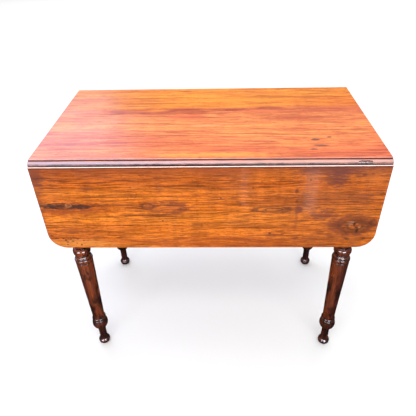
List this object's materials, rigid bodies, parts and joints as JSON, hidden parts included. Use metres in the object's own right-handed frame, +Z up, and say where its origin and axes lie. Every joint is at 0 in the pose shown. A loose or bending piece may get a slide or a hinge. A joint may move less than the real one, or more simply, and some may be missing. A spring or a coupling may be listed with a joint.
{
  "type": "pembroke table",
  "caption": "Polished mahogany pembroke table: wide flat top, a hinged drop leaf on each long side on rule joints, turned legs and an end drawer.",
  "frame": {"origin": "on the floor, under the middle of the top", "axes": "+X along the table towards the drawer end, +Y towards the rear leaf, +Z up"},
  "size_m": [0.87, 0.49, 0.735],
  "materials": {
    "top_mahogany": "polished",
    "leaf_mahogany": "polished",
    "leg_mahogany": "polished",
    "frieze_mahogany": "polished",
    "knob_mahogany": "polished",
    "fly_beech": "bare",
    "carcase_pine": "bare",
    "hinge_iron": "worn",
    "screw_steel": "worn"
  },
  "bodies": {
    "frame": {"drawer_kicker_front": "carcase_pine", "drawer_kicker_rear": "carcase_pine", "drawer_rail_bottom": "frieze_mahogany", "drawer_rail_top": "frieze_mahogany", "drawer_runner_front": "carcase_pine", "drawer_runner_rear": "carcase_pine", "drawer_stops": "carcase_pine", "end_rail": "frieze_mahogany", "fly_pins": "hinge_iron", "fly_rail_front": "fly_beech", "fly_rail_rear": "fly_beech", "fly_rail_screws": "screw_steel", "glue_blocks": "carcase_pine", "hinge_front_left_pin": "hinge_iron", "hinge_front_left_top_plate": "hinge_iron", "hinge_front_middle_pin": "hinge_iron", "hinge_front_middle_top_plate": "hinge_iron", "hinge_front_right_pin": "hinge_iron", "hinge_front_right_top_plate": "hinge_iron", "hinge_rear_left_pin": "hinge_iron", "hinge_rear_left_top_plate": "hinge_iron", "hinge_rear_middle_pin": "hinge_iron", "hinge_rear_middle_top_plate": "hinge_iron", "hinge_rear_right_pin": "hinge_iron", "hinge_rear_right_top_plate": "hinge_iron", "hinge_screws_top": "screw_steel", "inner_rail_front": "carcase_pine", "inner_rail_rear": "carcase_pine", "leg_front_left": "leg_mahogany", "leg_front_right": "leg_mahogany", "leg_rear_left": "leg_mahogany", "leg_rear_right": "leg_mahogany", "top_board": "top_mahogany", "top_screws": "screw_steel"},
    "front_leaf": {"front_leaf": "leaf_mahogany", "hinge_screws_front_leaf": "screw_steel", "hinge_front_left_leaf_plate": "hinge_iron", "hinge_front_middle_leaf_plate": "hinge_iron", "hinge_front_right_leaf_plate": "hinge_iron"},
    "rear_leaf": {"rear_leaf": "leaf_mahogany", "hinge_screws_rear_leaf": "screw_steel", "hinge_rear_left_leaf_plate": "hinge_iron", "hinge_rear_middle_leaf_plate": "hinge_iron", "hinge_rear_right_leaf_plate": "hinge_iron"},
    "drawer": {"drawer_front": "frieze_mahogany", "drawer_side_front": "carcase_pine", "drawer_side_rear": "carcase_pine", "drawer_back": "carcase_pine", "drawer_bottom": "carcase_pine", "drawer_knob_front": "knob_mahogany", "drawer_knob_rear": "knob_mahogany"},
    "fly_bracket_front_left": {"fly_bracket_front_left": "fly_beech"},
    "fly_bracket_front_right": {"fly_bracket_front_right": "fly_beech"},
    "fly_bracket_rear_left": {"fly_bracket_rear_left": "fly_beech"},
    "fly_bracket_rear_right": {"fly_bracket_rear_right": "fly_beech"}
  },
  "joints": [
    {"name": "front_leaf_hinge", "type": "hinge", "parent": "frame", "child": "front_leaf", "pos_m": [0, -0.231, 0.721], "axis": [-1, 0, 0], "range_deg": [0, 90]},
    {"name": "rear_leaf_hinge", "type": "hinge", "parent": "frame", "child": "rear_leaf", "pos_m": [0, 0.231, 0.721], "axis": [1, 0, 0], "range_deg": [0, 90]},
    {"name": "drawer_slide", "type": "slide", "parent": "frame", "child": "drawer", "axis": [1, 0, 0], "range_m": [0, 0.32]},
    {"name": "front_left_bracket_swing", "type": "hinge", "parent": "frame", "child": "fly_bracket_front_left", "pos_m": [-0.125, -0.204, 0.647], "axis": [0, 0, 1], "range_deg": [0, 3]},
    {"name": "front_right_bracket_swing", "type": "hinge", "parent": "frame", "child": "fly_bracket_front_right", "pos_m": [0.125, -0.204, 0.647], "axis": [0, 0, -1], "range_deg": [0, 3]},
    {"name": "rear_left_bracket_swing", "type": "hinge", "parent": "frame", "child": "fly_bracket_rear_left", "pos_m": [-0.125, 0.204, 0.647], "axis": [0, 0, -1], "range_deg": [0, 3]},
    {"name": "rear_right_bracket_swing", "type": "hinge", "parent": "frame", "child": "fly_bracket_rear_right", "pos_m": [0.125, 0.204, 0.647], "axis": [0, 0, 1], "range_deg": [0, 3]}
  ]
}
